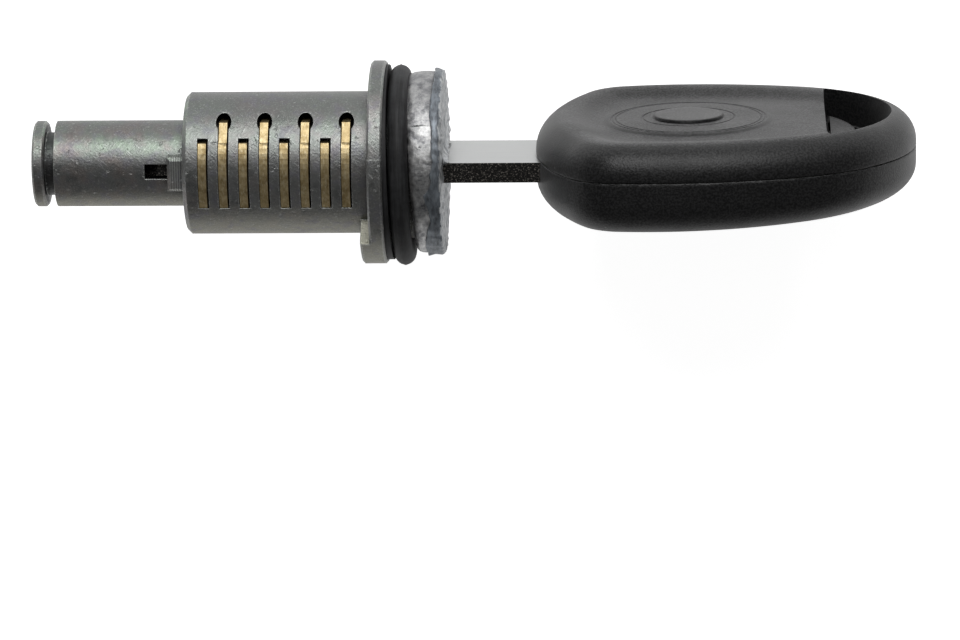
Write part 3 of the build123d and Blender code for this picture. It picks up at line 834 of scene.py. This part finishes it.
# Key head: two covers of black ABS with a soft matt coat, closed round the carrier that grips the blade.
# The coat has a fine even grain, and a thin ragged flash of it runs along the seam.
head_black = "#0a0a0b"
head_dust_and_sheen = "#4e4e4f"
head_light_grey = "#777778"
head_grain = 0.19
head_edge = 0.12
grain_relief = 0.06
handled_size = 9.0
lint_pitch = 2.6
rubbed_size = 1.6
nose_x = 16.3
nose_r = 28.9
shoulder_z = 16.3
corner_r = 6.5
rear_r = 16.0
rear_turn = radians(70)
rear_end_x = 54.2
seam_y = 1.0
upper_face_y = 4.5
lower_face_y = -4.1
rim_round = 3.0
dish_depth = 0.75
dish_slope = 3.4
disc_x = 31.55
disc_top_r = 3.3
disc_low_y = 2.0
disc_r = 7.7
window_x = 45.15
bar_width = 2.5
nose_steps = 32
corner_steps = 24
side_steps = 52
rear_steps = 48
flash_size = 1.4
nose_rise = 0.3
upper_rise = 0.65
under_rise = 1.45
seam_inset = 0.05
rear_margin = 0.001
rim_steps = 10
dish_start = rim_round + 0.1
dish_steps = 8

abs_black, tree = new_material("soft_coated_abs")
coords = add_node(tree, "TexCoord")
here = coords.outputs["Object"]
fine = add_node(tree, "TexNoise", {"Vector": here, "Scale": per_metre(head_grain), "Detail": 2.0})
handled = add_node(
    tree, "TexNoise", {"Vector": here, "Scale": per_metre(handled_size), "Detail": 5.0, "Roughness": 0.6}
)
lint = add_node(tree, "TexVoronoi", {"Vector": here, "Scale": per_metre(lint_pitch)})
# Dust lies in the grain of the faces that look up, and hardly on the sides. Its light grey is also a
# painted sheen of the grazing light on those faces
facing = add_node(tree, "SeparateXYZ", {"Vector": coords.outputs["Normal"]})
level = add_node(tree, "Math", {0: facing.outputs["Y"]}, operation="ABSOLUTE")
level = add_node(
    tree, "MapRange", {"Value": level, "From Min": 0.93, "From Max": 0.995, "To Min": 0.08, "To Max": 0.9}
)
dust = add_node(tree, "MapRange", {"Value": fine, "From Min": 0.45, "From Max": 0.6})
dust = add_node(tree, "Math", {0: dust, 1: level}, operation="MULTIPLY")
colour = add_node(tree, "MixRGB", {"Fac": dust, "Color1": linear(head_black), "Color2": linear(head_dust_and_sheen)})
# The flash on the sharp edges is rubbed grey here and there, and the same grey is a painted highlight where
# those edges catch the light
rounded, on_edge = worn_edges(tree, head_edge, 0.97, 0.85, 1.0)
rubbed_and_highlit = add_node(tree, "TexNoise", {"Vector": here, "Scale": per_metre(rubbed_size), "Detail": 3.0})
rubbed_and_highlit = add_node(tree, "MapRange", {"Value": rubbed_and_highlit, "From Min": 0.45, "From Max": 0.6, "To Max": 0.8})
on_edge = add_node(tree, "Math", {0: on_edge, 1: rubbed_and_highlit}, operation="MULTIPLY")
colour = add_node(tree, "MixRGB", {"Fac": on_edge, "Color1": colour, "Color2": linear(head_light_grey)})
# The raised disc keeps the coarse grain of its die, and looks lighter for it
place = add_node(tree, "SeparateXYZ", {"Vector": here})
from_disc = add_node(tree, "VectorMath", {0: here, 1: (disc_x * mm, 0, 0)}, operation="SUBTRACT")
from_disc = add_node(tree, "VectorMath", {0: from_disc, 1: (1, 0, 1)}, operation="MULTIPLY")
from_disc = add_node(tree, "VectorMath", {0: from_disc}, operation="LENGTH")
on_disc = add_node(tree, "Math", {0: from_disc.outputs["Value"], 1: disc_top_r * mm}, operation="LESS_THAN")
on_top = add_node(tree, "Math", {0: place.outputs["Y"], 1: disc_low_y * mm}, operation="GREATER_THAN")
on_disc = add_node(tree, "Math", {0: on_disc, 1: on_top}, operation="MULTIPLY")
shine = add_node(
    tree, "MapRange", {"Value": fine, "From Min": 0.38, "From Max": 0.62, "To Min": 0.34, "To Max": 0.56}
)
shine = add_node(tree, "Math", {0: on_disc, 1: 0.3, 2: shine}, operation="MULTIPLY_ADD")
specks = add_node(tree, "MapRange", {"Value": lint, "From Min": 0.05, "From Max": 0.03, "To Max": 0.6})
colour = add_node(tree, "MixRGB", {"Fac": specks, "Color1": colour, "Color2": linear(head_light_grey)})
dullness = add_node(
    tree, "MapRange", {"Value": handled, "From Min": 0.3, "From Max": 0.7, "To Min": 0.28, "To Max": 0.42}
)
dullness = add_node(tree, "Math", {0: fine, 1: 0.25, 2: dullness}, operation="MULTIPLY_ADD")
roughened = add_node(tree, "Math", {0: level, 1: 0.6, 2: 0.45}, operation="MULTIPLY_ADD")
bump = add_node(
    tree, "Bump", {"Height": fine, "Strength": roughened, "Distance": grain_relief * mm, "Normal": rounded}
)
shader = add_node(
    tree,
    "BsdfPrincipled",
    {
        "Base Color": colour,
        "Roughness": dullness,
        "Specular IOR Level": shine,
        "Sheen Weight": 0.1,
        "Sheen Roughness": 0.35,
        "Normal": bump,
    },
)
add_node(tree, "OutputMaterial", {"Surface": shader})
coat(abs_black, "key_core")

# The head's plan is made of four arcs a side: nose, corner, side and rear, each tangent to the next
nose_centre = Vector((nose_x + nose_r, 0))
rear_centre = Vector((rear_end_x - rear_r, 0))
rear_join = rear_centre + rear_r * Vector((cos(rear_turn), sin(rear_turn)))
shoulder = Vector((nose_centre.x - sqrt(nose_r**2 - shoulder_z**2), shoulder_z))
outward_at_join = Vector((cos(rear_turn), sin(rear_turn)))
chord = rear_join - shoulder
side_r = chord.length_squared / (2 * chord.dot(outward_at_join))
side_centre = rear_join - side_r * outward_at_join
between = side_centre - nose_centre
near_r = nose_r - corner_r
far_r = side_r - corner_r
lean = acos((near_r**2 + between.length_squared - far_r**2) / (2 * near_r * between.length))
toward_side = atan2(between.y, between.x)
corner_turn = toward_side - lean
corner_centre = nose_centre + near_r * Vector((cos(corner_turn), sin(corner_turn)))


def turn_from(centre, point):
    """The angle of the point, seen from the centre, from 0 to a full turn."""
    return atan2(point.y - centre.y, point.x - centre.x) % (2 * pi)


nose_turn = turn_from(nose_centre, corner_centre)
side_turn = turn_from(side_centre, corner_centre)
arcs = (
    (rear_centre, rear_r, 0, rear_turn, rear_steps),
    (side_centre, side_r, rear_turn, side_turn, side_steps),
    (corner_centre, corner_r, side_turn, nose_turn, corner_steps),
    (nose_centre, nose_r, nose_turn, pi, nose_steps),
)


def head_plan(inset):
    """Points of the head's plan, as (x, z) in mm, that far inside its outline."""
    half = []
    for centre, radius, start, end, steps in arcs:
        for step in range(steps):
            turn = start + (end - start) * step / steps
            half.append(centre + (radius - inset) * Vector((cos(turn), sin(turn))))
    nose_point = Vector((nose_x + inset, 0))
    return half + [nose_point] + [Vector((p.x, -p.y)) for p in reversed(half[1:])]


def around_disc(point):
    """The angle of a plan point about the disc, counted from just before the rear end."""
    return (atan2(point[1], point[0] - disc_x) + rear_margin) % (2 * pi)


def raised(x, y):
    """The height of a cover's point, in mm, with the rear of the head raised and its underside tapered."""
    share = (x - nose_x) / (rear_end_x - nose_x)
    rise = nose_rise * (1 - (1 - share) ** 6) + (upper_rise - nose_rise) * share**2
    below = max(0, (seam_y - y) / (seam_y - lower_face_y))
    return y + rise + below * (under_rise * share**2.5 - rise)


def next_ring(points, y):
    """Extrudes the selected face and puts its corners at the plan points, at height y."""
    bpy.ops.mesh.extrude_region_move()
    mesh = bmesh.from_edit_mesh(bpy.context.object.data)
    moved = [vertex for vertex in mesh.verts if vertex.select]
    moved.sort(key=lambda vertex: around_disc((vertex.co.x / mm, vertex.co.z / mm)))
    for vertex, point in zip(moved, sorted(points, key=around_disc)):
        vertex.co = (point[0] * mm, raised(point[0], y) * mm, point[1] * mm)
    bmesh.update_edit_mesh(bpy.context.object.data)


def head_cover(name, rings):
    """A cover built up from its seam: rings of plan points with their heights."""
    bpy.ops.object.select_all(action="DESELECT")
    points, y = rings[0]
    bpy.ops.mesh.primitive_circle_add(vertices=len(points), radius=mm, fill_type="NGON")
    piece = bpy.context.object
    piece.name = name
    for vertex, point in zip(piece.data.vertices, points):
        vertex.co = (point[0] * mm, raised(point[0], y) * mm, point[1] * mm)
    bpy.ops.object.mode_set(mode="EDIT")
    bpy.ops.mesh.select_mode(type="FACE")
    bpy.ops.mesh.select_all(action="SELECT")
    for points, y in rings[1:]:
        next_ring(points, y)
    bpy.ops.mesh.select_all(action="SELECT")
    bpy.ops.mesh.remove_doubles(threshold=0.001 * mm)
    bpy.ops.mesh.normals_make_consistent(inside=False)
    bpy.ops.object.mode_set(mode="OBJECT")
    return piece


def ragged(points, reach, seed):
    """The points, each moved in or out along the plan's radius by up to that many millimetres."""
    moved = []
    for point in points:
        away = (point - Vector((disc_x, 0))).normalized()
        rag = noise.noise(Vector((point.x / flash_size, point.y / flash_size, seed)))
        rag += noise.noise(Vector((point.x * 2, point.y * 2, seed))) * 0.7
        moved.append(point + away * max(-1, min(1, rag * 1.6)) * reach)
    return moved


def rim_and_dish(seam_rings, face, outward):
    """The rings of a cover from its seam over the rounded rim and down into the dish."""
    rings = []
    for inset, reach, seed, height in seam_rings:
        rings.append((ragged(head_plan(inset), reach, seed), seam_y + outward * height))
    for step in range(rim_steps + 1):
        turn = pi / 2 * step / rim_steps
        inset = seam_inset + (rim_round - seam_inset) * (1 - cos(turn))
        rings.append((head_plan(inset), face - outward * rim_round * (1 - sin(turn))))
    for step in range(1, dish_steps + 1):
        share = step / dish_steps
        drop = dish_depth * (1 - cos(pi * share)) / 2
        rings.append((head_plan(dish_start + share * dish_slope), face - outward * drop))
    return rings


# The flash along the seam of each cover, as rings of inset, raggedness, seed and height from the seam
upper_seam = ((0.24, 0.06, 3, 0), (0.1, 0.03, 5, 0.1), (0.06, 0, 0, 0.18), (seam_inset, 0, 0, 0.3))
lower_seam = ((0.1, 0.1, 8, 0), (0.1, 0.03, 9, 0.06), (0.06, 0, 0, 0.14), (seam_inset, 0, 0, 0.3))
upper_rings = rim_and_dish(upper_seam, upper_face_y, 1)
floor_y = upper_face_y - dish_depth
disc_turns = [around_disc(point) - rear_margin for point in head_plan(dish_start + dish_slope)]
# The disc's profile, as radius and height over the floor of the dish
disc_profile = (
    (8.5, 0.02),
    (8.3, 0.09),
    (8.1, 0.18),
    (7.95, 0.24),
    (disc_r + 0.12, 0.26),
    (disc_r + 0.02, 0.17),
    (disc_r - 0.1, 0.17),
    (disc_r - 0.16, 0.26),
    (disc_r - 0.34, 0.27),
    (disc_r - 0.4, 0.19),
    (disc_r - 0.5, 0.19),
    (disc_r - 0.56, 0.29),
    (6.5, 0.32),
    (5.5, 0.34),
    (4.7, 0.35),
    (4.64, 0.25),
    (4.5, 0.25),
    (4.44, 0.35),
    (4.2, 0.36),
    (3.6, 0.35),
    (3.5, 0.26),
    (3.42, 0.26),
    (3.4, 0.52),
    (3.37, 0.6),
    (3.3, 0.64),
    (3.0, 0.65),
    (2.4, 0.65),
    (1.2, 0.65),
)
for radius, rise in disc_profile:
    ring = [(disc_x + radius * cos(turn), radius * sin(turn)) for turn in disc_turns]
    upper_rings.append((ring, floor_y + rise))
upper_cover = head_cover("key_cover_upper_soft", upper_rings)
lower_cover = head_cover("key_cover_lower_soft", rim_and_dish(lower_seam, lower_face_y, -1))


def ring_window_cutter(ledge):
    """A prism through the head, inside the rear bar and its ledge, behind the window's straight wall."""
    bpy.ops.object.select_all(action="DESELECT")
    bpy.ops.mesh.primitive_cylinder_add(
        vertices=120,
        radius=(rear_r - bar_width - ledge) * mm,
        depth=20 * mm,
        location=(rear_centre.x * mm, 0, 0),
        rotation=(pi / 2, 0, 0),
    )
    piece = bpy.context.object
    bpy.ops.object.transform_apply(location=True, rotation=True, scale=True)
    bpy.ops.object.mode_set(mode="EDIT")
    bpy.ops.mesh.select_all(action="SELECT")
    bpy.ops.mesh.bisect(plane_co=(window_x * mm, 0, 0), plane_no=(1, 0, 0), use_fill=True, clear_inner=True)
    bpy.ops.mesh.select_mode(type="EDGE")
    bpy.ops.mesh.select_all(action="DESELECT")
    mesh = bmesh.from_edit_mesh(piece.data)
    for edge in mesh.edges:
        a, b = (vertex.co / mm for vertex in edge.verts)
        on_wall = abs(a.x - window_x) < 0.01 and abs(b.x - window_x) < 0.01
        if on_wall and abs(a.y - b.y) > 1:
            edge.select = True
    bmesh.update_edit_mesh(piece.data)
    bpy.ops.mesh.bevel(offset=1.0 * mm, segments=6)
    bpy.ops.object.mode_set(mode="OBJECT")
    return piece


for cover, ledge in ((upper_cover, 0), (lower_cover, 0.4)):
    cut_with(cover, ring_window_cutter(ledge))
blade_slot_low = (nose_x - 1, -1.0, -keyway_half_w)
blade_slot_high = (nose_x + 8, 2.0, keyway_half_w)
cut_with(lower_cover, block(blade_slot_low, blade_slot_high))

# A low tongue in the ring window lies on the carrier's own
tongue_half_w = 8.6
tongue_len = 3.1
tongue_top = 2.9
tongue_gap = 0.2
tongue_edge = 0.25
tongue_r = (tongue_half_w**2 + tongue_len**2) / (2 * tongue_len)
bpy.ops.object.select_all(action="DESELECT")
bpy.ops.mesh.primitive_cylinder_add(
    vertices=220,
    radius=tongue_r * mm,
    depth=(tongue_top - seam_y) * mm,
    location=((window_x + tongue_len - tongue_r) * mm, (tongue_top + seam_y) / 2 * mm, 0),
    rotation=(pi / 2, 0, 0),
)
tongue = bpy.context.object
tongue.name = "ring_window_tongue"
bpy.ops.object.transform_apply(location=True, rotation=True, scale=True)
bpy.ops.object.mode_set(mode="EDIT")
bpy.ops.mesh.select_all(action="SELECT")
bpy.ops.mesh.bisect(
    plane_co=((window_x + tongue_gap) * mm, 0, 0), plane_no=(1, 0, 0), use_fill=True, clear_inner=True
)
bpy.ops.mesh.select_mode(type="EDGE")
bpy.ops.mesh.select_all(action="DESELECT")
mesh = bmesh.from_edit_mesh(tongue.data)
for edge in mesh.edges:
    edge.select = all(vertex.co.y > (tongue_top - 0.01) * mm for vertex in edge.verts)
bmesh.update_edit_mesh(tongue.data)
bpy.ops.mesh.bevel(offset=tongue_edge * mm, segments=3)
bpy.ops.object.mode_set(mode="OBJECT")
dress(tongue, abs_black, 30)
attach(tongue, "key")

dress(upper_cover, abs_black, 30)
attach(upper_cover, "key")
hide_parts("key_cover_upper")
dress(lower_cover, abs_black, 30)
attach(lower_cover, "key")
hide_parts("key_cover_lower")

# Studio: a plain white floor under the lock, and broad soft lamps above and in front of it.
# The camera sees the floor a little lighter than it is lit, so it comes out white round a faint shadow.
floor_z = -17.5
floor_size = 4.0
floor_white = "#f4f4f4"
floor_seen = 0.9
floor_mirrored = 0.58
sky_strength = 0.1

bpy.ops.object.select_all(action="DESELECT")
bpy.ops.mesh.primitive_plane_add(size=floor_size, location=(0, 0, floor_z * mm))
floor = bpy.context.object
floor.name = "floor"
floor_paper, tree = new_material("white_paper")
seen = add_node(tree, "LightPath")
paper = add_node(tree, "BsdfDiffuse", {"Color": linear(floor_white)})
mirrored = add_node(
    tree, "Math", {0: seen.outputs["Is Glossy Ray"], 1: floor_mirrored}, operation="MULTIPLY"
)
lit_up = add_node(
    tree, "Math", {0: seen.outputs["Is Camera Ray"], 1: floor_seen, 2: mirrored}, operation="MULTIPLY_ADD"
)
lift = add_node(tree, "Emission", {"Color": (1, 1, 1, 1), "Strength": lit_up})
lit_paper = add_node(tree, "AddShader", {0: paper, 1: lift})
add_node(tree, "OutputMaterial", {"Surface": lit_paper})
floor.data.materials.append(floor_paper)

world = bpy.data.worlds.new("studio")
world.use_nodes = True
tree = world.node_tree
tree.nodes.clear()
seen = add_node(tree, "LightPath")
plain = add_node(tree, "Background", {"Color": (1, 1, 1, 1), "Strength": sky_strength})
white = add_node(tree, "Background", {"Color": (1, 1, 1, 1), "Strength": 1.0})
backdrop = add_node(tree, "MixShader", {0: seen.outputs["Is Camera Ray"], 1: plain, 2: white})
add_node(tree, "OutputWorld", {"Surface": backdrop})
bpy.context.scene.world = world

lamps = (("top_softbox", (0.02, 0.45, 0.355), 0.38, 2.3), ("low_fill", (0.05, -0.5, 0.15), 0.6, 0.1))
for name, spot, size, watts in lamps:
    lamp = bpy.data.lights.new(name, "AREA")
    lamp.size = size
    lamp.energy = watts
    holder = bpy.data.objects.new(name, lamp)
    holder.location = spot
    aim = Vector((0.01, 0, 0)) - Vector(spot)
    holder.rotation_euler = aim.to_track_quat("-Z", "Y").to_euler()
    bpy.context.scene.collection.objects.link(holder)

bpy.context.scene.view_settings.view_transform = "Standard"
